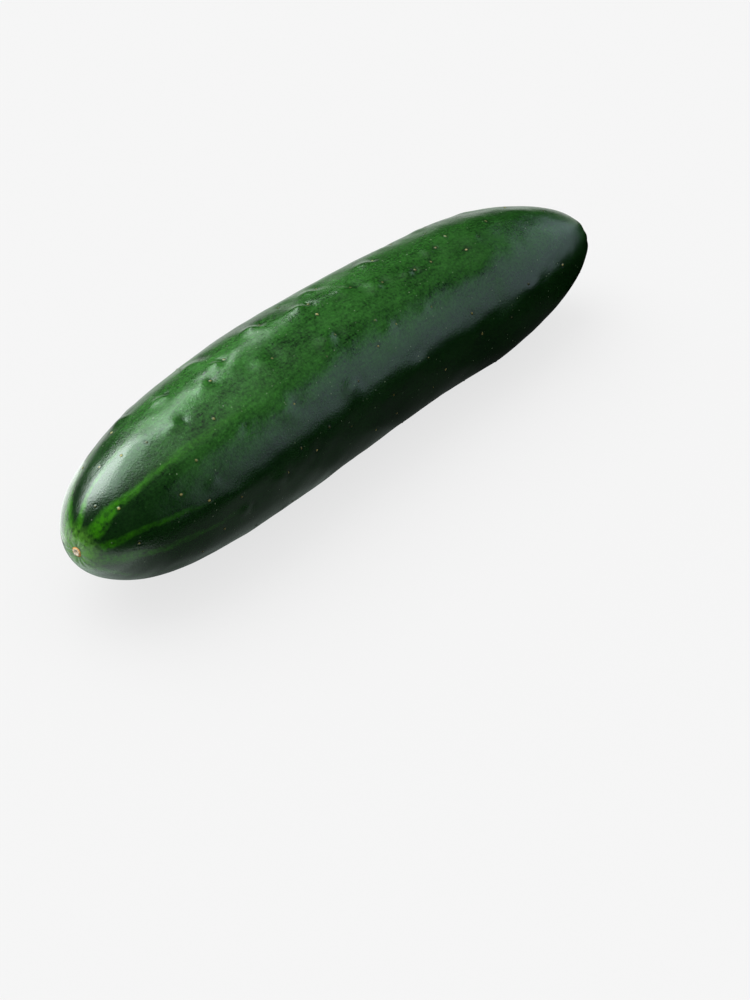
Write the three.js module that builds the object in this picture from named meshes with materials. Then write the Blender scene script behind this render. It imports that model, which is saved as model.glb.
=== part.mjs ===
// A slicing cucumber, as picked: one fruit lying on its side, with the scar of its flower at one end
// and the scar of its stem at the other.
//
// Millimetres, +Z up. The origin is on the table under the middle of the fruit, and +X runs towards the
// stem end. A station is a distance along the fruit from the blossom end. A bearing is an angle round
// it, in degrees: 0 faces +Y, 90 faces up, and 270 faces the table.
import * as THREE from 'three';

// Overall form
const LENGTH = 222;             // blossom end to stem end, along the fruit
const BELLY_RADIUS = 25.8;      // the widest section
const BELLY_STATION = 72;       // the girth is full as far as this from the blossom end
const SHOULDER_RADIUS = 23.9;   // the slimmer section that the stem end rounds in from
const SHOULDER_FROM_STEM = 46;  // where the girth has come down to the shoulder, from the stem end
const BLOSSOM_TAPER = 124;      // the long taper of the blossom end
const BLOSSOM_FULLNESS = 4.3;   // power of that taper: a higher one keeps the end fuller
const STEM_TAPER = 56;
const STEM_FULLNESS = 1.5;

// How the fruit bends as it lies
const BEND = 6.6;               // sideways bow of its middle
const HOOK = 3.6;               // extra turn of the stem end, the opposite way
const HOOK_LENGTH = 90;
const BLOSSOM_LIFT = 1.5;       // the tapered end rides this much above the line of the belly
const LIFT_LENGTH = 80;

// Section
const LOBES = 3;                // one for each of the three seed chambers
const LOBE_HEIGHT = 0.35;
const RIBS = 10;                // low ribs along the skin
const RIB_HEIGHT = 0.16;
const RIB_START = 3;            // the ends themselves are smooth as far as this
const RIB_FULL = 30;            // and lobes and ribs have their full height from here
const FLAT_DEPTH = 0.35;        // the underside is flattened this far in from the valley it lies on

// Scars at the ends
const BLOSSOM_SCAR_RADIUS = 1.9;
const BLOSSOM_SCAR_DEPTH = 0.5;
const STEM_SCAR_RADIUS = 3.6;
const STEM_SCAR_DEPTH = 1.3;
const SCAR_WALL = 0.5;          // width of the sloping wall round each scar
const SCAR_DISH = [             // the hollow of a scar's floor, as shares of its radius and its depth
  [0, 1],
  [0.5, 0.9],
  [1, 0.6],
];

// Warts: broad low swellings in a golden-angle spiral along the fruit
const WART_COUNT = 74;
const WART_MARGIN = 17;         // clear length at each end
const WART_HEIGHT = 0.5;        // the tallest
const WART_LOWEST = 0.25;       // and the lowest
const WART_LENGTH = 4.6;        // half length, along the fruit
const WART_WIDTH = 3.2;         // half width, round it
const GOLDEN_ANGLE = 180 * (3 - Math.sqrt(5));

// Facets
const STATIONS = 84;
const SEGMENTS = 54;
const HALVINGS = 40;            // enough to find a scar's rim exactly

const { clamp, degToRad, euclideanModulo, lerp, radToDeg, smoothstep } = THREE.MathUtils;

// Radius of the fruit without its rounded ends.
function girth(station) {
  const slimming = smoothstep(station, BELLY_STATION, LENGTH - SHOULDER_FROM_STEM);
  return lerp(BELLY_RADIUS, SHOULDER_RADIUS, slimming);
}

// Share of the girth left at a distance from an end: 0 at the end, 1 where its taper is over.
function taper(fromEnd, taperLength, fullness) {
  return Math.sqrt(1 - (1 - clamp(fromEnd / taperLength, 0, 1)) ** fullness);
}

function radiusAt(station) {
  return girth(station)
    * taper(station, BLOSSOM_TAPER, BLOSSOM_FULLNESS)
    * taper(LENGTH - station, STEM_TAPER, STEM_FULLNESS);
}

// The line through the middle of the fruit. Its underside stays level from belly to shoulder.
class Spine extends THREE.Curve {
  getPoint(t, target = new THREE.Vector3()) {
    const station = t * LENGTH;
    const hook = clamp((station - LENGTH + HOOK_LENGTH) / HOOK_LENGTH, 0, 1);
    const lift = 1 - clamp(station / LIFT_LENGTH, 0, 1);
    return target.set(
      station - LENGTH / 2,
      BEND * (1 - (2 * t - 1) ** 2) - HOOK * hook ** 2,
      girth(station) - LOBE_HEIGHT - FLAT_DEPTH + BLOSSOM_LIFT * lift ** 2,
    );
  }
}

// A scar's floor sits below the end of the fruit, and its wall climbs to the skin outside it.
function scarPoints(scarRadius, depth, stationOf) {
  const rimStation = stationOf(scarRadius + SCAR_WALL);
  const floor = SCAR_DISH.map(
    ([out, down]) => new THREE.Vector2(scarRadius * out, rimStation + depth * down));
  return [...floor, new THREE.Vector2(scarRadius + SCAR_WALL, rimStation)];
}

// Distance from an end at which the skin has reached a radius, found by halving.
function distanceToRadius(radius, radiusFromEnd) {
  let near = 0;
  let far = LENGTH / 4;
  for (let i = 0; i < HALVINGS; i++) {
    const middle = (near + far) / 2;
    if (radiusFromEnd(middle) < radius) near = middle;
    else far = middle;
  }
  return far;
}

// Half outline of the fruit, as radius and station, from the blossom scar to the stem scar.
function outline() {
  const blossomScar = scarPoints(BLOSSOM_SCAR_RADIUS, BLOSSOM_SCAR_DEPTH,
    (radius) => distanceToRadius(radius, radiusAt));
  const stemScar = scarPoints(STEM_SCAR_RADIUS, STEM_SCAR_DEPTH,
    (radius) => distanceToRadius(radius, (d) => radiusAt(LENGTH - d)));
  stemScar.forEach((point) => { point.y = LENGTH - point.y; });

  const first = blossomScar.at(-1).y;
  const last = stemScar.at(-1).y;
  const skin = [];
  for (let i = 1; i < STATIONS; i++) {
    const even = i / STATIONS;
    const crowded = (1 - Math.cos(Math.PI * even)) / 2;   // closer together towards the ends
    const station = lerp(first, last, (even + crowded) / 2);
    skin.push(new THREE.Vector2(radiusAt(station), station));
  }
  return [...blossomScar, ...skin, ...stemScar.reverse()];
}

function wartSpiral() {
  const warts = [];
  const pitch = (LENGTH - 2 * WART_MARGIN) / (WART_COUNT - 1);
  for (let i = 0; i < WART_COUNT; i++) {
    const size = (i * Math.SQRT2) % 1;                    // an even mixture of sizes
    warts.push({
      station: WART_MARGIN + i * pitch,
      bearing: i * GOLDEN_ANGLE,
      height: lerp(WART_LOWEST, WART_HEIGHT, size),
    });
  }
  return warts;
}

// What lobes, ribs and warts add to the radius at a place on the skin. One lobe faces up, so that the
// fruit lies on the valley between the other two.
function relief(station, bearing, radius, warts) {
  const fromEnd = Math.min(station, LENGTH - station);
  const rise = smoothstep(fromEnd, RIB_START, RIB_FULL);
  const lobes = LOBE_HEIGHT * Math.cos(LOBES * degToRad(bearing - 90));
  const ribs = RIB_HEIGHT * Math.cos(RIBS * degToRad(bearing - 90));
  let height = (lobes + ribs) * rise;
  for (const wart of warts) {
    const along = (station - wart.station) / WART_LENGTH;
    if (Math.abs(along) > 2) continue;
    const turn = euclideanModulo(bearing - wart.bearing + 180, 360) - 180;
    const across = degToRad(turn) * radius / WART_WIDTH;
    height += wart.height * Math.exp(-(along ** 2 + across ** 2));
  }
  return height;
}

function fruitGeometry() {
  const geometry = new THREE.LatheGeometry(outline(), SEGMENTS);
  const position = geometry.getAttribute('position');
  const spine = new Spine();
  const warts = wartSpiral();
  const up = new THREE.Vector3();
  const side = new THREE.Vector3();
  const along = new THREE.Vector3();
  const point = new THREE.Vector3();

  for (let i = 0; i < position.count; i++) {
    point.fromBufferAttribute(position, i);
    const station = point.y;
    const turn = Math.atan2(point.x, point.z);
    const radius = Math.hypot(point.x, point.z);
    const full = radius + relief(station, radToDeg(turn), radius, warts);

    const t = station / LENGTH;
    spine.getTangent(t, along);
    side.set(-along.y, along.x, 0).normalize();
    up.crossVectors(along, side);
    spine.getPoint(t, point)
      .addScaledVector(side, full * Math.cos(turn))
      .addScaledVector(up, full * Math.sin(turn));
    position.setXYZ(i, point.x, point.y, Math.max(point.z, 0));   // the underside rests flat
  }

  geometry.deleteAttribute('uv');
  geometry.computeVertexNormals();
  geometry.computeBoundingBox();
  const middle = geometry.boundingBox.getCenter(new THREE.Vector3());
  return geometry.translate(-middle.x, -middle.y, 0);
}

const skin = new THREE.MeshStandardMaterial({ color: '#23401f', roughness: 0.32, metalness: 0 });

const fruit = new THREE.Mesh(fruitGeometry(), skin);
fruit.name = 'cucumber';

const cucumber = new THREE.Group();
cucumber.add(fruit);

export default cucumber;
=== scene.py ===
import math
import random
from collections import namedtuple

import bmesh
import bpy
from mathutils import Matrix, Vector, kdtree, noise


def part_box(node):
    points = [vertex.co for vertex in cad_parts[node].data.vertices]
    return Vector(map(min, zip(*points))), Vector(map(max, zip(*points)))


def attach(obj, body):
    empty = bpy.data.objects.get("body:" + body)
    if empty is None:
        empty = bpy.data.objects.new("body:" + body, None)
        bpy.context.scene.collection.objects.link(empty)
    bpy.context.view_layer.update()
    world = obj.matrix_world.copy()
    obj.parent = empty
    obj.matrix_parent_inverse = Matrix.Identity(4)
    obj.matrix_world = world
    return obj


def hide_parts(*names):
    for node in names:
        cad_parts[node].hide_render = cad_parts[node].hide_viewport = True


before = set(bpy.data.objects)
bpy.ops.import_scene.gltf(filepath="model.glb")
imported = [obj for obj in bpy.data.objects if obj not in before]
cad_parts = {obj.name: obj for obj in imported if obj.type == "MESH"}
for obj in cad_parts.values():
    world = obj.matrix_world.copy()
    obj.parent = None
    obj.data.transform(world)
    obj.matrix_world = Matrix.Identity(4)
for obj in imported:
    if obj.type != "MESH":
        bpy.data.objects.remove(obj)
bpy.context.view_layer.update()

LOW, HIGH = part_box("cucumber")
MM = 0.001
random.seed(7)

# The form of the fruit, in metres. A station is a distance along it from the blossom end. A bearing is
# an angle round it, in degrees: 0 faces +Y, 90 faces up, and 270 faces the table.
LENGTH = HIGH.x - LOW.x
BELLY_RADIUS = (HIGH.z - LOW.z) / 2
BELLY_STATION = 72 * MM         # the girth is full as far as this
SHOULDER_RADIUS = BELLY_RADIUS - 1.9 * MM
SHOULDER_STATION = LENGTH - 46 * MM
BLOSSOM_TAPER = 124 * MM
BLOSSOM_FULLNESS = 4.3
STEM_TAPER = 56 * MM
STEM_FULLNESS = 1.5

# How it bends as it lies
BEND = 6.6 * MM                 # sideways bow of its middle
HOOK = 3.6 * MM                 # extra turn of the stem end, the opposite way
HOOK_LENGTH = 90 * MM
BLOSSOM_LIFT = 1.5 * MM
LIFT_LENGTH = 80 * MM

# Section
LOBES = 3
LOBE_HEIGHT = 0.35 * MM
RIBS = 10
RIB_HEIGHT = 0.16 * MM
RIB_START = 3 * MM
RIB_FULL = 30 * MM
FLAT_DEPTH = 0.35 * MM

# Mesh of the skin
SEGMENTS = 212                  # round the fruit
RING_GAP = 0.78 * MM            # along it
FINEST_GAP = 0.12 * MM          # at the middle of each scar
GAP_GROWTH = 0.08               # rings spread by this share of their radius
OUTLINE_SAMPLES = 24000

# Swell of the skin: long soft waves, and shorter ones over them
Swell = namedtuple("Swell", "length width height")
SWELLS = [
    Swell(30 * MM, 12 * MM, 0.30 * MM),
    Swell(8 * MM, 5 * MM, 0.17 * MM),
    Swell(3.0 * MM, 2.2 * MM, 0.035 * MM),
]

# The boldest warts, as station in mm, bearing and height in mm
BOLD_WARTS = [
    (37, 101, 0.45), (53, 92, 0.50), (61, 66, 0.55), (63, 84, 0.65), (68, 138, 0.40), (83, 74, 0.80),
    (93, 150, 0.45), (95, 116, 0.65), (99, 84, 0.80), (114, 91, 0.70), (124, 100, 0.80), (137, 104, 0.65),
    (150, 96, 0.55), (109, 70, 0.55), (132, 74, 0.50),
]
WART_COUNT = 64
WART_CLEARANCE = 12 * MM        # between one wart and the next
WART_MARGIN = 34 * MM           # clear length at each end
WART_LENGTH = 2.8 * MM          # half length, along the fruit
WART_WIDTH = 1.9 * MM           # half width, round it
WART_HEIGHTS = (0.15, 0.5)      # in mm, where it isn't one of the boldest
WART_SIZES = (0.8, 1.35)        # how much longer and wider than the sizes above
WART_REACH = 3                  # it has faded out this many half lengths away
WART_PIT = 0.50                 # depth of the pit behind a wart, as a share of its height
WART_TAIL = 1.35                # how far behind, as a share of the wart's half length
PIT_LENGTH = 0.7                # half length of the pit, as the same share
PIT_SHADE = 0.9                 # how much painted shade darkens the skin of a pit,
PIT_FULL = 0.65 * MM            # behind a wart this high or higher

# Spine scars: the corky nub that each broken spine has left
SPINE_COUNT = 150
SPINE_CLEARANCE = 6 * MM
SPINE_MARGIN = 6 * MM
SPINE_RADIUS = 0.32 * MM
SPINE_HEIGHT = 0.16 * MM
SPINE_GROOVE = 0.05 * MM        # depth of the fine groove round it
SPINE_SURROUND = 1.5 * MM       # the dark skin round it
SPINE_FINE = 1.2 * MM           # faces this near to it are split

# Pale stripes from the cap round the blossom scar, as bearing, half width in mm, the station in mm where
# each ends, strength, and how far it turns round the fruit by there
Stripe = namedtuple("Stripe", "bearing half_width end strength turn")
STRIPES = [
    Stripe(10, 1.1, 44, 0.70, 4), Stripe(45, 2.3, 52, 0.95, 3), Stripe(78, 1.1, 60, 0.90, 9),
    Stripe(115, 1.9, 80, 1.0, 11), Stripe(149, 1.4, 46, 0.75, 16), Stripe(182, 1.9, 62, 0.70, -2),
    Stripe(216, 1.3, 48, 0.60, -4), Stripe(255, 1.6, 50, 0.70, 4), Stripe(293, 1.4, 46, 0.65, -5),
    Stripe(328, 1.2, 42, 0.70, 3),
]
STRIPE_WANDER = 0.8 * MM        # how far a stripe strays
STRIPE_WAVE = 9 * MM            # over about this length
CAP_RADIUS = 6.6 * MM           # the stripes start here

# Scars at the ends. The blossom scar sits a little to the +Y side.
BLOSSOM_SCAR_RADIUS = 1.45 * MM
BLOSSOM_SCAR_SIDE = 0.8 * MM
BLOSSOM_DIMPLE = 0.40 * MM      # its depth
BLOSSOM_PUCKER = 0.06 * MM
BLOSSOM_CORE = 0.25 * MM        # depth of the pit in the middle of the scar
STEM_SCAR_RADIUS = 3.6 * MM
STEM_HOLLOW = 1.2 * MM          # depth of the hollow round the scar
STEM_PLEAT = 0.10 * MM
STEM_CORE = 0.25 * MM

# Painted light from above: the skin facing up, round this bearing, is painted the palest
PAINTED_LIGHT_BEARING = 94
PAINTED_LIGHT_PALEST = 58 * MM          # station where it is palest
PAINTED_LIGHT_EXTRA = 0.28              # how much paler there
PAINTED_LIGHT_REACH = 20 * MM           # and for how far each way
PAINTED_LIGHT_START = (6 * MM, 40 * MM)
PAINTED_LIGHT_END = (120 * MM, 205 * MM)

# Camera and room. Azimuth and elevation are in degrees, from the fruit.
CAMERA_AZIMUTH = -49.6
CAMERA_ELEVATION = 38.63
CAMERA_DISTANCE = 0.6547
CAMERA_AIM = Vector((-0.0164, -0.0301, 0))
LENS = 80
SENSOR_WIDTH = 36
FLOOR_RADIUS = 5.0
FLOOR_SIDES = 96
DAYLIGHT = (-168, 62)           # where the light on the fruit comes from
DAYLIGHT_STRENGTH = 1.6
DAYLIGHT_SPREAD = 60            # degrees across, so the shadow is soft
ROOM_SIDE = (-168, 76)          # where the room is brightest
ROOM_DARK = 0.07                # radiance of the room's darkest side
ROOM_BRIGHT = 1.40              # and of its brightest

# What the wax reflects, all at one distance: azimuth, elevation, width, height, radiance, tint
CARD_DISTANCE = 1.0
CARDS = [
    ("window_left", -161, 45, 0.60, 0.58, 18.5, "#e6f6ee"),
    ("window_right", 170, 45, 0.22, 0.56, 8.5, "#e6f6ee"),
    ("skylight", -168, 73, 0.78, 0.42, 7.5, "#d8f6e4"),
    ("casement", 145, 49, 0.15, 0.80, 7.0, "#e6f6ee"),
    ("ceiling", 80, 80, 0.60, 0.90, 0.6, "#eef6f2"),
    ("wall_near", 24, 17, 0.50, 0.50, 0.85, "#cfe0e8"),
    ("wall", 67, 17, 1.15, 0.58, 1.50, "#cadcec"),
]

# The table as the wax reflects it. Strips of it in front of the fruit dim into the fruit's own shadow:
# from x, to x, radiance.
TABLE_DEPTH = -0.01
TABLE_FRONT_MIDDLE = -0.035
TABLE_FRONT_WIDTH = 0.15
TABLE_STRIPS = [
    (-0.90, -0.108, 2.1), (-0.108, -0.098, 0.9), (-0.098, -0.086, 0.45), (-0.086, -0.060, 0.22),
    (-0.060, -0.010, 0.25), (-0.010, 0.020, 0.14), (0.020, 0.060, 0.07), (0.060, 0.120, 0.03),
]


# ---------------------------------------------------------------- form

def smooth(value, start, end):
    """0 at start, 1 at end, with an even slope at both."""
    share = min(max((value - start) / (end - start), 0), 1)
    return share * share * (3 - 2 * share)


def mix(a, b, share):
    return a + (b - a) * share


def girth(station):
    return mix(BELLY_RADIUS, SHOULDER_RADIUS, smooth(station, BELLY_STATION, SHOULDER_STATION))


def taper(from_end, length, fullness):
    share = min(max(from_end / length, 0), 1)
    return math.sqrt(1 - (1 - share) ** fullness)


def radius_at(station):
    return (girth(station) * taper(station, BLOSSOM_TAPER, BLOSSOM_FULLNESS)
            * taper(LENGTH - station, STEM_TAPER, STEM_FULLNESS))


def half_outline():
    """Points along the skin from pole to pole, close together at the poles."""
    points = [Vector((0, 0, 0))]
    walked = 0
    last = points[0]
    for i in range(1, OUTLINE_SAMPLES):
        crowded = (1 - math.cos(math.pi * i / OUTLINE_SAMPLES)) / 2
        station = LENGTH * crowded
        here = Vector((station, 0, radius_at(station)))
        walked += (here - last).length
        last = here
        if walked > min(FINEST_GAP + GAP_GROWTH * here.z, RING_GAP):
            points.append(here)
            walked = 0
    if points[-1].z < FINEST_GAP:
        points.pop()
    return points + [Vector((LENGTH, 0, 0))]


def on_skin(station, bearing):
    radius = radius_at(station)
    angle = math.radians(bearing)
    return Vector((station, radius * math.cos(angle), radius * math.sin(angle)))


def spine(station):
    """The line through the middle of the fruit."""
    along = station / LENGTH
    hook = max(0, (station - LENGTH + HOOK_LENGTH) / HOOK_LENGTH)
    lift = max(0, 1 - station / LIFT_LENGTH)
    return Vector((
        LOW.x + station,
        BEND * (1 - (2 * along - 1) ** 2) - HOOK * hook ** 2,
        girth(station) - LOBE_HEIGHT - FLAT_DEPTH + BLOSSOM_LIFT * lift ** 2,
    ))


def laid(point):
    """Where a point of the straight fruit is once the fruit is bent and lies on the table."""
    ahead = (spine(point.x + MM) - spine(point.x - MM)).normalized()
    side = Vector((-ahead.y, ahead.x, 0)).normalized()
    place = spine(point.x) + side * point.y + ahead.cross(side) * point.z
    place.z = max(place.z, 0)
    return place


# ---------------------------------------------------------------- skin

def scatter(count, clearance, margin, taken):
    """Places on the skin at random, none closer to another than the clearance."""
    places = list(taken)
    for _ in range(count * 60):
        if len(places) == count:
            break
        station = random.uniform(margin, LENGTH - margin)
        place = on_skin(station, random.uniform(0, 360))
        if all((place - other).length > clearance for other in places):
            places.append(place)
    return places


def relief(point, bearing):
    """Lobes, ribs and the swell of the skin."""
    from_end = min(point.x, LENGTH - point.x)
    rise = smooth(from_end, RIB_START, RIB_FULL)
    height = LOBE_HEIGHT * math.cos(LOBES * (bearing - math.pi / 2)) * rise
    height += RIB_HEIGHT * math.cos(RIBS * (bearing - math.pi / 2)) * rise
    fade = smooth(from_end, 0, RIB_FULL)
    for i, swell in enumerate(SWELLS):
        at = Vector((point.x / swell.length + 31 * i, point.y / swell.width, point.z / swell.width))
        height += swell.height * noise.noise(at) * fade
    return height


def blossom_relief(radius, bearing):
    """The dimple round the blossom scar, its puckers and the corky ring in it."""
    pucker = math.cos(RIBS * bearing + 1.4 * math.sin(3 * bearing))
    height = -BLOSSOM_DIMPLE * (1 - smooth(radius, 1.2 * MM, 4.5 * MM))
    puckered = smooth(radius, 1.5 * MM, 2.4 * MM) * (1 - smooth(radius, 3 * MM, 7.5 * MM))
    height += BLOSSOM_PUCKER * pucker * puckered
    share = radius / BLOSSOM_SCAR_RADIUS
    ring = smooth(share, 0.30, 0.62) * (1 - smooth(share, 0.78, 1.05))
    height += ring * (0.28 + 0.06 * math.sin(5 * bearing) + 0.05 * math.sin(11 * bearing)) * MM
    height -= BLOSSOM_CORE * (1 - smooth(share, 0.10, 0.38))
    return height


def stem_relief(radius, bearing):
    """The pleated hollow at the stem end, and the corky scar where the stem parted."""
    pleat = math.cos(RIBS * bearing + 1.1 * math.sin(2 * bearing))
    height = -STEM_HOLLOW * (1 - smooth(radius, 2.6 * MM, 6.5 * MM))
    pleated = smooth(radius, 3.3 * MM, 5.5 * MM) * (1 - smooth(radius, 6 * MM, 14 * MM))
    height += STEM_PLEAT * pleat * pleated
    lip = smooth(radius, 2.5 * MM, 3.1 * MM) * (1 - smooth(radius, 3.5 * MM, 4.1 * MM))
    height += lip * (0.55 + 0.12 * math.sin(5 * bearing + 1) + 0.08 * math.sin(9 * bearing)) * MM
    height -= STEM_CORE * (1 - smooth(radius, 0.3 * MM, 2.4 * MM))
    return height


def stripe_at(station, radius, bearing, wander):
    """Strength of the pale stripes at a place on the skin."""
    strongest = 0
    for stripe in STRIPES:
        along = station / (stripe.end * MM)
        middle = math.radians(stripe.bearing + stripe.turn * along)
        across = math.remainder(bearing - middle, math.tau) * radius + wander
        width = stripe.half_width * MM * mix(1, 0.58, smooth(along, 0.03, 0.22))
        strength = 1 - smooth(abs(across) / width, 0.2, 1.7)
        strength *= stripe.strength * mix(1, 0.56, smooth(along, 0.05, 0.28)) * (1 - smooth(along, 0.2, 1))
        strongest = max(strongest, strength)
    return strongest * smooth(radius + 1.5 * wander, 0.85 * CAP_RADIUS, 1.1 * CAP_RADIUS)


def painted_top_light_at(station, bearing):
    """How much painted light from above falls on the skin: most where it faces up."""
    back = smooth(math.cos(bearing - math.radians(PAINTED_LIGHT_BEARING)), 0.4, 0.98)
    paler = 1 + PAINTED_LIGHT_EXTRA * math.exp(-((station - PAINTED_LIGHT_PALEST) / PAINTED_LIGHT_REACH) ** 2)
    return back * paler * smooth(station, *PAINTED_LIGHT_START) * (1 - 0.6 * smooth(station, *PAINTED_LIGHT_END))


def spin_skin():
    """The straight fruit: its half outline spun round."""
    mesh = bmesh.new()
    outline = [mesh.verts.new(point) for point in half_outline()]
    edges = [mesh.edges.new(pair) for pair in zip(outline, outline[1:])]
    bmesh.ops.spin(mesh, geom=outline + edges, cent=(0, 0, 0), axis=(1, 0, 0), dvec=(0, 0, 0),
                   angle=math.tau, steps=SEGMENTS, use_merge=True, use_duplicate=False)
    bmesh.ops.remove_doubles(mesh, verts=mesh.verts[:], dist=0.001 * MM)
    bmesh.ops.recalc_face_normals(mesh, faces=mesh.faces[:])
    return mesh


def refine(mesh, places, reach):
    """Splits the faces round each place in nine."""
    tree = kdtree.KDTree(len(mesh.faces))
    mesh.faces.ensure_lookup_table()
    for face in mesh.faces:
        tree.insert(face.calc_center_median(), face.index)
    tree.balance()
    edges = set()
    for place in places:
        for _, index, _ in tree.find_range(place, reach):
            edges.update(mesh.faces[index].edges)
    bmesh.ops.subdivide_edges(mesh, edges=list(edges), cuts=2, use_grid_fill=True)


def grow_warts(tree, heights, spine_ring_and_pit_shade, places):
    """Adds low warts, the boldest first, each with a pit on its stem side whose skin is painted darker as
    shade.
    """
    for i, place in enumerate(places):
        height = BOLD_WARTS[i][2] * MM if i < len(BOLD_WARTS) else random.uniform(*WART_HEIGHTS) * MM
        size = random.uniform(*WART_SIZES)
        length, width = WART_LENGTH * size, WART_WIDTH * size
        for at, index, distance in tree.find_range(place, WART_REACH * length):
            along = (at.x - place.x) / length
            across = math.sqrt(max(distance ** 2 - (at.x - place.x) ** 2, 0)) / width
            heights[index] += height * math.exp(-along ** 2 - across ** 2)
            pit = math.exp(-((along - WART_TAIL) / PIT_LENGTH) ** 2 - across ** 2)
            heights[index] -= WART_PIT * height * pit
            # Painted shade: the skin in the pit is darkened, more behind taller warts
            spine_ring_and_pit_shade[index] = max(spine_ring_and_pit_shade[index], PIT_SHADE * min(height / PIT_FULL, 1) * pit ** 2)


def grow_spines(tree, heights, cork, tint, spine_ring_and_pit_shade, places):
    """Adds the corky nub of each spine, the groove round it and the dark skin round that."""
    for place in places:
        shape = random.uniform(0.75, 1.3)
        radius = SPINE_RADIUS * random.uniform(0.75, 1.25)
        colour = random.random()
        dark = random.uniform(0.3, 1)
        worn = random.uniform(0.2, 0.9)
        for at, index, distance in tree.find_range(place, SPINE_SURROUND * 1.4):
            along = (at.x - place.x) * shape
            across = math.sqrt(max(distance ** 2 - (at.x - place.x) ** 2, 0)) / shape
            out = math.hypot(along, across)
            nub = 1 - smooth(out, 0.35 * radius, 1.3 * radius)
            heights[index] += SPINE_HEIGHT * nub
            heights[index] -= SPINE_GROOVE * smooth(out, radius, 1.6 * radius) * (
                1 - smooth(out, 1.8 * radius, 3.2 * radius))
            cork[index] = max(cork[index], worn * (1 - smooth(out, 0.7 * radius, 1.15 * radius)))
            tint[index] = colour
            spine_ring_and_pit_shade[index] = max(spine_ring_and_pit_shade[index], dark * (1 - smooth(out, 1.2 * radius, SPINE_SURROUND)))


def fit_to_frame(mesh):
    """Brings the finished skin to exactly the size and place that the frame gives the fruit."""
    for axis in range(3):
        values = [vert.co[axis] for vert in mesh.verts]
        low, high = min(values), max(values)
        scale = (HIGH[axis] - LOW[axis]) / (high - low)
        for vert in mesh.verts:
            vert.co[axis] = LOW[axis] + (vert.co[axis] - low) * scale


def make_fruit():
    bold = [on_skin(station * MM, bearing) for station, bearing, _ in BOLD_WARTS]
    warts = scatter(WART_COUNT, WART_CLEARANCE, WART_MARGIN, bold)
    pits = [place + Vector((WART_TAIL * WART_LENGTH, 0, 0)) for place in warts]
    spines = scatter(SPINE_COUNT, SPINE_CLEARANCE, SPINE_MARGIN, pits)

    mesh = spin_skin()
    refine(mesh, spines, SPINE_FINE)
    mesh.normal_update()
    mesh.verts.ensure_lookup_table()
    count = len(mesh.verts)
    tree = kdtree.KDTree(count)
    for i, vert in enumerate(mesh.verts):
        tree.insert(vert.co, i)
    tree.balance()

    heights, cork, tint, spine_ring_and_pit_shade, stripes, painted_top_light, scar = ([0.0] * count for _ in range(7))
    grown = [vert.co.copy() for vert in mesh.verts]
    grow_warts(tree, heights, spine_ring_and_pit_shade, warts)
    grow_spines(tree, heights, cork, tint, spine_ring_and_pit_shade, spines)
    for i, vert in enumerate(mesh.verts):
        at = vert.co
        radius = math.hypot(at.y, at.z)
        bearing = math.atan2(at.z, at.y)
        wander = STRIPE_WANDER * noise.noise(at / STRIPE_WAVE)
        stripes[i] = stripe_at(at.x, radius, bearing, wander)
        # Painted light from above, by bearing and station
        painted_top_light[i] = painted_top_light_at(at.x, bearing)
        heights[i] += relief(at, bearing)
        if at.x < LENGTH / 2:
            scar[i] = math.hypot(at.y - BLOSSOM_SCAR_SIDE, at.z)
            heights[i] += blossom_relief(scar[i], math.atan2(at.z, at.y - BLOSSOM_SCAR_SIDE))
        else:
            scar[i] = radius
            heights[i] += stem_relief(radius, bearing)
    for i, vert in enumerate(mesh.verts):
        vert.co = laid(vert.co + vert.normal * heights[i])
    fit_to_frame(mesh)

    for face in mesh.faces:
        face.smooth = True
    data = bpy.data.meshes.new("cucumber_skin")
    mesh.to_mesh(data)
    mesh.free()
    place = data.attributes.new("grown", "FLOAT_VECTOR", "POINT")
    place.data.foreach_set("vector", [value for point in grown for value in point])
    for name, values in (("cork", cork), ("tint", tint), ("spine_ring_and_pit_shade", spine_ring_and_pit_shade), ("stripes", stripes),
                         ("painted_top_light", painted_top_light), ("scar", scar)):
        data.attributes.new(name, "FLOAT", "POINT").data.foreach_set("value", values)
    fruit = bpy.data.objects.new("cucumber_skin", data)
    bpy.context.scene.collection.objects.link(fruit)
    return fruit


# ---------------------------------------------------------------- materials

# Sizes of the patterns in the rind
FELT_SIZE = 0.9 * MM            # cells, felted together
DRIFT_SIZE = 9 * MM             # paler and darker drifts of them
FIBRE_SIZE = 0.6 * MM
LINE_SIZE = 1.2 * MM            # darker lines in the stripes
PORE_GAP = 1.5 * MM
STRAND_GAP = 0.9 * MM           # in the stem scar
GRAIN_SIZE = 0.6 * MM
GRAIN_HEIGHT = 0.066 * MM
RAGGED = 0.35 * MM              # how far the edge of a scar strays

def linear(colour):
    """An sRGB hex colour as linear values, with alpha."""
    channels = [int(colour[i:i + 2], 16) / 255 for i in (1, 3, 5)]
    return [c / 12.92 if c <= 0.04045 else ((c + 0.055) / 1.055) ** 2.4 for c in channels] + [1]


# Socket places on the Mix node when it mixes colours
FACTOR, COLOUR_A, COLOUR_B, COLOUR_OUT = 0, 6, 7, 2


def add(tree, kind, values=None, **settings):
    """Adds a node. Settings are its own properties. A value fills the socket it names: a number or
    colour is set there, and another node's socket is linked to it."""
    node = tree.nodes.new(kind)
    for name, setting in settings.items():
        setattr(node, name, setting)
    for socket, value in (values or {}).items():
        if isinstance(value, bpy.types.NodeSocket):
            tree.links.new(value, node.inputs[socket])
        else:
            node.inputs[socket].default_value = value
    return node


def new_material(name):
    material = bpy.data.materials.new(name)
    material.use_nodes = True
    material.node_tree.nodes.clear()
    return material, material.node_tree


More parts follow.
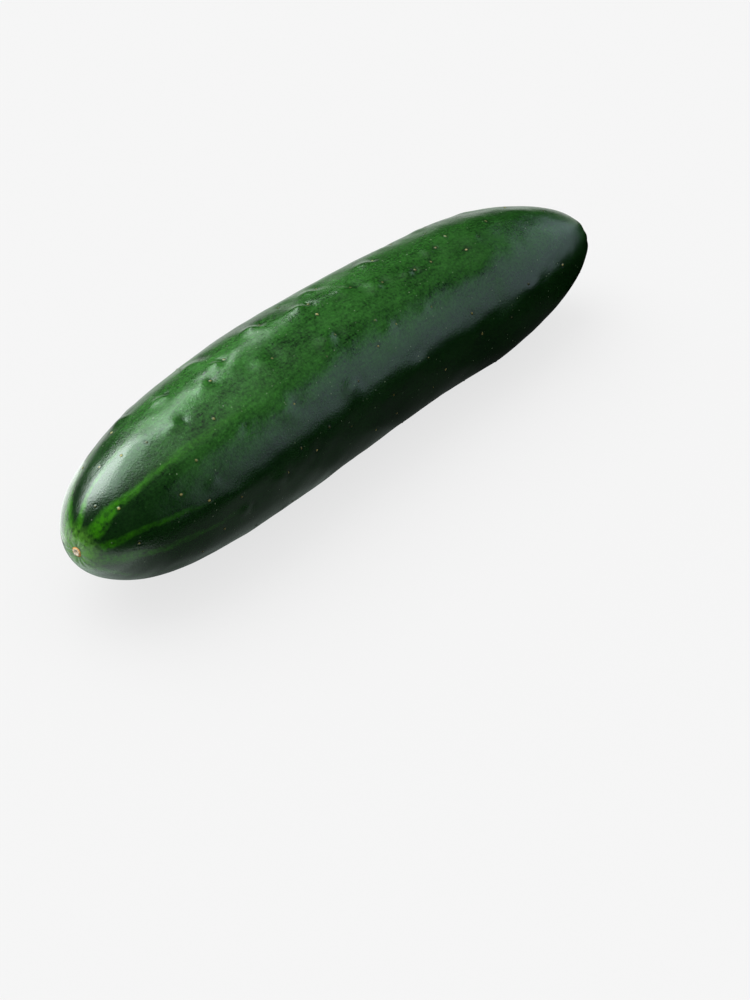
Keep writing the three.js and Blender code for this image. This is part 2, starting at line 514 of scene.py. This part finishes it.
def rind_material():
    """Cucumber rind under its own wax: dark green, felted with paler cells, and glossy enough to carry
    the shape of a window. Stripes and the blossom end hold less green, so they show paler."""
    material, tree = new_material("waxy_rind")
    grown = add(tree, "ShaderNodeAttribute", attribute_name="grown").outputs["Vector"]
    cork, tint, spine_ring_and_pit_shade, stripes, painted_top_light, scar = (
        add(tree, "ShaderNodeAttribute", attribute_name=name).outputs["Fac"]
        for name in ("cork", "tint", "spine_ring_and_pit_shade", "stripes", "painted_top_light", "scar"))
    station = add(tree, "ShaderNodeSeparateXYZ", {0: grown}).outputs["X"]

    # Cells of the rind, felted together, in drifts that are longer along the fruit, and fine fibres
    felt = add(tree, "ShaderNodeTexNoise", {
        "Vector": grown, "Scale": 1 / FELT_SIZE, "Detail": 5.0, "Roughness": 0.7}).outputs["Fac"]
    stretched = add(tree, "ShaderNodeMapping", {"Vector": grown, "Scale": (0.5, 1, 1)}).outputs[0]
    drifts = add(tree, "ShaderNodeTexNoise", {
        "Vector": stretched, "Scale": 1 / DRIFT_SIZE, "Detail": 4.0, "Roughness": 0.6}).outputs["Fac"]
    combed = add(tree, "ShaderNodeMapping", {"Vector": grown, "Scale": (0.2, 1, 1)}).outputs[0]
    fibres = add(tree, "ShaderNodeTexNoise", {
        "Vector": combed, "Scale": 1 / FIBRE_SIZE, "Detail": 2.0, "Roughness": 0.5}).outputs["Fac"]
    mottle = add(tree, "ShaderNodeMath", {0: drifts, 1: 2.6, 2: -2.65},
                 operation="MULTIPLY_ADD").outputs[0]
    mottle = add(tree, "ShaderNodeMath", {0: felt, 1: 3.4, 2: mottle}, operation="MULTIPLY_ADD").outputs[0]
    mottle = add(tree, "ShaderNodeMath", {0: fibres, 1: 1.3, 2: mottle}, operation="MULTIPLY_ADD").outputs[0]
    # Painted light and shade: the mottle is painted paler on skin facing up and darker on the rest
    painted_light_gain = add(tree, "ShaderNodeMath", {0: painted_top_light, 1: 0.38, 2: 0.07}, operation="MULTIPLY_ADD").outputs[0]
    mottle = add(tree, "ShaderNodeMath", {0: mottle, 1: painted_light_gain}, operation="MULTIPLY").outputs[0]
    mottle = add(tree, "ShaderNodeMath", {0: mottle, 1: 0.0}, operation="MAXIMUM").outputs[0]
    green = add(tree, "ShaderNodeMix", {
        FACTOR: mottle, COLOUR_A: linear("#071f0a"), COLOUR_B: linear("#36752a")},
        data_type="RGBA").outputs[COLOUR_OUT]

    # Stripes, with an edge that follows the cells and fine darker lines along them
    edge = add(tree, "ShaderNodeMath", {0: felt, 1: 1.4, 2: -1.85}, operation="MULTIPLY_ADD").outputs[0]
    combed = add(tree, "ShaderNodeMapping", {"Vector": grown, "Scale": (0.08, 1, 1)}).outputs[0]
    lines = add(tree, "ShaderNodeTexNoise", {
        "Vector": combed, "Scale": 1 / LINE_SIZE, "Detail": 2.0, "Roughness": 0.5}).outputs["Fac"]
    edge = add(tree, "ShaderNodeMath", {0: lines, 1: 2.3, 2: edge}, operation="MULTIPLY_ADD").outputs[0]
    frayed = add(tree, "ShaderNodeMath", {0: edge, 1: 1.25, 2: 1.0}, operation="MULTIPLY_ADD").outputs[0]
    striped = add(tree, "ShaderNodeMath", {0: stripes, 1: frayed}, operation="MULTIPLY").outputs[0]
    striped = add(tree, "ShaderNodeMapRange", {
        "Value": striped, "From Min": 0.1, "From Max": 1.2}, clamp=True).outputs[0]
    green = add(tree, "ShaderNodeMix", {
        FACTOR: striped, COLOUR_A: green, COLOUR_B: linear("#327c05")},
        data_type="RGBA").outputs[COLOUR_OUT]

    # Paler cap round the blossom scar
    near = add(tree, "ShaderNodeMath", {0: station, 1: LENGTH / 2}, operation="LESS_THAN").outputs[0]
    cap = add(tree, "ShaderNodeMapRange", {
        "Value": scar, "From Min": CAP_RADIUS * 1.3, "From Max": CAP_RADIUS * 0.5}, clamp=True).outputs[0]
    cap = add(tree, "ShaderNodeMath", {0: cap, 1: near}, operation="MULTIPLY").outputs[0]
    capped = add(tree, "ShaderNodeMath", {0: cap, 1: frayed}, operation="MULTIPLY").outputs[0]
    capped = add(tree, "ShaderNodeMapRange", {
        "Value": capped, "From Min": 0.05, "From Max": 0.95, "To Max": 0.9}, clamp=True).outputs[0]
    green = add(tree, "ShaderNodeMix", {
        FACTOR: capped, COLOUR_A: green, COLOUR_B: linear("#5a9c32")},
        data_type="RGBA").outputs[COLOUR_OUT]

    # Pores: pale specks about 0.4 mm across, crowded on the cap and fewer elsewhere
    pores = add(tree, "ShaderNodeTexVoronoi", {
        "Vector": grown, "Scale": 1 / PORE_GAP, "Randomness": 1.0})
    speck = add(tree, "ShaderNodeMapRange", {
        "Value": pores.outputs["Distance"], "From Min": 0.16, "From Max": 0.07}, clamp=True).outputs[0]
    chosen = add(tree, "ShaderNodeSeparateColor", {0: pores.outputs["Color"]}).outputs[0]
    chosen = add(tree, "ShaderNodeMath", {0: cap, 1: 0.5, 2: chosen}, operation="MULTIPLY_ADD").outputs[0]
    chosen = add(tree, "ShaderNodeMapRange", {
        "Value": chosen, "From Min": 0.70, "From Max": 1.15, "To Max": 0.8}, clamp=True).outputs[0]
    speck = add(tree, "ShaderNodeMath", {0: speck, 1: chosen}, operation="MULTIPLY").outputs[0]
    green = add(tree, "ShaderNodeMix", {
        FACTOR: speck, COLOUR_A: green, COLOUR_B: linear("#a3b596")},
        data_type="RGBA").outputs[COLOUR_OUT]

    # Darker skin round each spine scar, painted shade in the pits behind warts, and the cork of the scar
    # itself
    dark = add(tree, "ShaderNodeMath", {0: spine_ring_and_pit_shade, 1: 0.75}, operation="MULTIPLY").outputs[0]
    green = add(tree, "ShaderNodeMix", {
        FACTOR: dark, COLOUR_A: green, COLOUR_B: linear("#0a1f0f")},
        data_type="RGBA").outputs[COLOUR_OUT]
    corky = add(tree, "ShaderNodeMix", {
        FACTOR: tint, COLOUR_A: linear("#6b5c22"), COLOUR_B: linear("#c6b76e")},
        data_type="RGBA").outputs[COLOUR_OUT]
    colour = add(tree, "ShaderNodeMix", {
        FACTOR: cork, COLOUR_A: green, COLOUR_B: corky},
        data_type="RGBA").outputs[COLOUR_OUT]

    # The blossom scar: an orange rim of cork, paler inside, with a brown middle
    ragged = add(tree, "ShaderNodeMath", {0: felt, 1: 2 * RAGGED, 2: -RAGGED},
                 operation="MULTIPLY_ADD").outputs[0]
    ragged = add(tree, "ShaderNodeMath", {0: scar, 1: ragged}, operation="ADD").outputs[0]
    rings = add(tree, "ShaderNodeValToRGB", {0: add(tree, "ShaderNodeMath", {
        0: ragged, 1: BLOSSOM_SCAR_RADIUS * 1.2}, operation="DIVIDE").outputs[0]})
    ramp = rings.color_ramp
    for place, shade_of in ((0.0, "#7a5230"), (0.07, "#a87c50"), (0.15, "#f0dab8"), (0.38, "#fdf3e2"),
                            (0.62, "#fbe6c2"), (0.74, "#f6c27c"), (0.86, "#eda24c"), (0.93, "#16301a")):
        stop = ramp.elements.new(place)
        stop.color = linear(shade_of)
    ramp.elements.remove(ramp.elements[-1])
    inside = add(tree, "ShaderNodeMapRange", {
        "Value": ragged, "From Min": BLOSSOM_SCAR_RADIUS * 1.25, "From Max": BLOSSOM_SCAR_RADIUS * 1.05},
        clamp=True).outputs[0]
    inside = add(tree, "ShaderNodeMath", {0: inside, 1: near}, operation="MULTIPLY").outputs[0]
    colour = add(tree, "ShaderNodeMix", {
        FACTOR: inside, COLOUR_A: colour, COLOUR_B: rings.outputs["Color"]},
        data_type="RGBA").outputs[COLOUR_OUT]

    # The stem scar: dull cork, with the dark ends of its strands and a darker lip
    far = add(tree, "ShaderNodeMath", {0: station, 1: LENGTH / 2}, operation="GREATER_THAN").outputs[0]
    stem = add(tree, "ShaderNodeMapRange", {
        "Value": ragged, "From Min": STEM_SCAR_RADIUS * 1.08, "From Max": STEM_SCAR_RADIUS * 0.95},
        clamp=True).outputs[0]
    stem = add(tree, "ShaderNodeMath", {0: stem, 1: far}, operation="MULTIPLY").outputs[0]
    dull = add(tree, "ShaderNodeMix", {
        FACTOR: felt, COLOUR_A: linear("#6d6540"), COLOUR_B: linear("#b3a87c")},
        data_type="RGBA").outputs[COLOUR_OUT]
    strands = add(tree, "ShaderNodeTexVoronoi", {
        "Vector": grown, "Scale": 1 / STRAND_GAP, "Randomness": 0.8}).outputs["Distance"]
    strands = add(tree, "ShaderNodeMapRange", {
        "Value": strands, "From Min": 0.42, "From Max": 0.12, "To Max": 0.75}, clamp=True).outputs[0]
    lip = add(tree, "ShaderNodeMapRange", {
        "Value": ragged, "From Min": STEM_SCAR_RADIUS * 0.66, "From Max": STEM_SCAR_RADIUS * 0.94,
        "To Max": 0.7}, clamp=True).outputs[0]
    worn = add(tree, "ShaderNodeMath", {0: strands, 1: lip}, operation="MAXIMUM").outputs[0]
    dull = add(tree, "ShaderNodeMix", {
        FACTOR: worn, COLOUR_A: dull, COLOUR_B: linear("#3d3a1c")},
        data_type="RGBA").outputs[COLOUR_OUT]
    colour = add(tree, "ShaderNodeMix", {
        FACTOR: stem, COLOUR_A: colour, COLOUR_B: dull},
        data_type="RGBA").outputs[COLOUR_OUT]

    # Gloss: wax over the rind, none on cork
    scars = add(tree, "ShaderNodeMath", {0: cork, 1: inside}, operation="MAXIMUM").outputs[0]
    scars = add(tree, "ShaderNodeMath", {0: scars, 1: stem}, operation="MAXIMUM").outputs[0]
    wax = add(tree, "ShaderNodeMapRange", {
        "Value": drifts, "From Min": 0.3, "From Max": 0.7, "To Min": 0.17, "To Max": 0.26},
        clamp=True).outputs[0]
    rough = add(tree, "ShaderNodeMapRange", {
        "Value": scars, "To Min": wax, "To Max": 0.75}, clamp=True).outputs[0]
    grain = add(tree, "ShaderNodeTexNoise", {
        "Vector": grown, "Scale": 1 / GRAIN_SIZE, "Detail": 3.0, "Roughness": 0.6}).outputs["Fac"]
    bump = add(tree, "ShaderNodeBump", {
        "Height": grain, "Distance": GRAIN_HEIGHT, "Strength": 1.0}).outputs[0]
    shader = add(tree, "ShaderNodeBsdfPrincipled", {
        "Base Color": colour, "Roughness": rough, "IOR": 1.42, "Normal": bump}).outputs[0]
    add(tree, "ShaderNodeOutputMaterial", {"Surface": shader})
    return material


def floor_material():
    """Milky acrylic of a light table: it glows a little from below, so the shadow on it stays pale."""
    material, tree = new_material("light_table_acrylic")
    shader = add(tree, "ShaderNodeBsdfPrincipled", {
        "Base Color": linear("#636363"), "Roughness": 0.9, "Specular IOR Level": 0.0,
        "Emission Color": linear("#ffffff"), "Emission Strength": 0.742}).outputs[0]
    add(tree, "ShaderNodeOutputMaterial", {"Surface": shader})
    return material


# ---------------------------------------------------------------- room

def direction(azimuth, elevation):
    """From the object towards a place in the room. Azimuth 0 is -Y, and 90 is +X."""
    a, e = math.radians(azimuth), math.radians(elevation)
    return Vector((math.sin(a) * math.cos(e), -math.cos(a) * math.cos(e), math.sin(e)))


def make_floor():
    mesh = bmesh.new()
    bmesh.ops.create_circle(mesh, cap_ends=True, radius=FLOOR_RADIUS, segments=FLOOR_SIDES)
    data = bpy.data.meshes.new("floor")
    mesh.to_mesh(data)
    mesh.free()
    floor = bpy.data.objects.new("floor", data)
    bpy.context.scene.collection.objects.link(floor)
    data.materials.append(floor_material())
    floor.visible_diffuse = False
    floor.visible_glossy = False
    return floor


def make_camera():
    data = bpy.data.cameras.new("camera")
    data.lens = LENS
    data.sensor_width = SENSOR_WIDTH
    camera = bpy.data.objects.new("camera", data)
    bpy.context.scene.collection.objects.link(camera)
    back = direction(CAMERA_AZIMUTH, CAMERA_ELEVATION)
    camera.location = CAMERA_AIM + back * CAMERA_DISTANCE
    camera.rotation_euler = (-back).to_track_quat("-Z", "Y").to_euler()
    bpy.context.scene.camera = camera


def shining_card(name, place, facing, width, height, radiance, tint):
    """A flat light that only shows as its reflection in the wax. Its radiance is set, so its size
    doesn't change how bright that reflection is."""
    data = bpy.data.lights.new(name, "AREA")
    data.shape = "RECTANGLE"
    data.size = width
    data.size_y = height
    data.color = linear(tint)[:3]
    data.energy = radiance * math.pi * width * height
    light = bpy.data.objects.new(name, data)
    bpy.context.scene.collection.objects.link(light)
    light.location = place
    light.rotation_euler = facing.to_track_quat("-Z", "Y").to_euler()
    light.visible_camera = False
    light.visible_diffuse = False


def make_light():
    """Daylight from behind on the left shades the fruit. Cards give the wax what it reflects: two panes
    of a window, a skylight over them, a casement, the ceiling, two walls and the pale table."""
    for name, azimuth, elevation, width, height, radiance, tint in CARDS:
        away = direction(azimuth, elevation)
        shining_card(name, away * CARD_DISTANCE, -away, width, height, radiance, tint)
    up = Vector((0, 0, 1))
    shining_card("table_behind", Vector((0, 0.44, TABLE_DEPTH)), up, 1.6, 0.8, 0.8, "#f4faf6")
    shining_card("table_behind_left", Vector((-0.2, 0.145, -0.008)), up, 0.3, 0.2, 1.8, "#eefaf0")
    for left, right, radiance in TABLE_STRIPS:
        middle = Vector(((left + right) / 2, TABLE_FRONT_MIDDLE, TABLE_DEPTH))
        shining_card("table_left", middle, up, right - left, TABLE_FRONT_WIDTH, radiance, "#dcefe4")

    sun = bpy.data.lights.new("daylight", "SUN")
    sun.energy = DAYLIGHT_STRENGTH
    sun.angle = math.radians(DAYLIGHT_SPREAD)
    light = bpy.data.objects.new("daylight", sun)
    bpy.context.scene.collection.objects.link(light)
    light.rotation_euler = direction(*DAYLIGHT).to_track_quat("Z", "Y").to_euler()
    light.visible_glossy = False

    world = bpy.data.worlds.new("room")
    bpy.context.scene.world = world
    world.use_nodes = True
    tree = world.node_tree
    tree.nodes.clear()
    way = add(tree, "ShaderNodeTexCoord").outputs["Generated"]
    facing = add(tree, "ShaderNodeVectorMath", {0: way, 1: direction(*ROOM_SIDE)},
                 operation="DOT_PRODUCT").outputs["Value"]
    strength = add(tree, "ShaderNodeMapRange", {
        "Value": facing, "From Min": 0.0, "From Max": 1.0, "To Min": ROOM_DARK, "To Max": ROOM_BRIGHT},
        interpolation_type="SMOOTHSTEP").outputs[0]
    room = add(tree, "ShaderNodeBackground", {"Color": linear("#ffffff"), "Strength": strength})
    seen = add(tree, "ShaderNodeBackground", {"Color": linear("#f7f7f7"), "Strength": 1.0})
    path = add(tree, "ShaderNodeLightPath")
    both = add(tree, "ShaderNodeMixShader", {
        0: path.outputs["Is Camera Ray"], 1: room.outputs[0], 2: seen.outputs[0]})
    add(tree, "ShaderNodeOutputWorld", {"Surface": both.outputs[0]})
    world.cycles_visibility.glossy = False


scene = bpy.context.scene
scene.view_settings.view_transform = "Standard"

make_camera()
make_light()
make_floor()

fruit = make_fruit()
fruit.data.materials.append(rind_material())
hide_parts("cucumber")
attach(fruit, "root")
